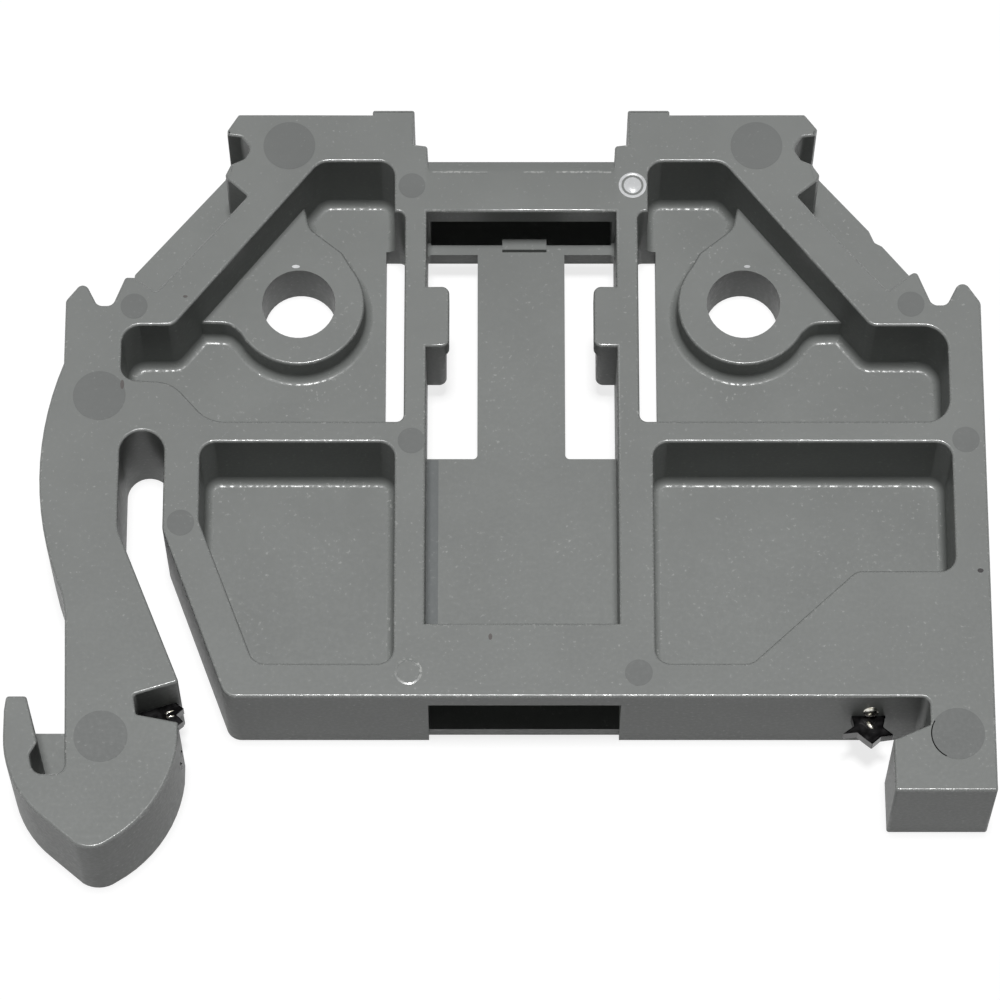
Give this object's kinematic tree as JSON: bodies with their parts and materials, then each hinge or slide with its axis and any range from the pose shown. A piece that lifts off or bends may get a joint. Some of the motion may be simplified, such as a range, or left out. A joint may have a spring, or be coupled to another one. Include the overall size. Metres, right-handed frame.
{
  "type": "mounting rail end stop",
  "caption": "Flat ribbed end stop that snaps on a 35 mm mounting rail with a springy foot, with toothed steel plates, marker grooves and screw holes.",
  "frame": {"origin": "middle of the bounding box of the closed back face, on which the part lies", "axes": "+X towards the solid right foot, +Y away from the rail, +Z out of the open front; the rail runs along Z"},
  "size_m": [0.044, 0.0358, 0.006],
  "materials": {
    "body_plastic": "matte",
    "plate_steel": "bright"
  },
  "bodies": {
    "root": {"stop_body": "body_plastic", "clamp_plate_right": "plate_steel", "clamp_plate_left": "plate_steel"}
  },
  "joints": []
}
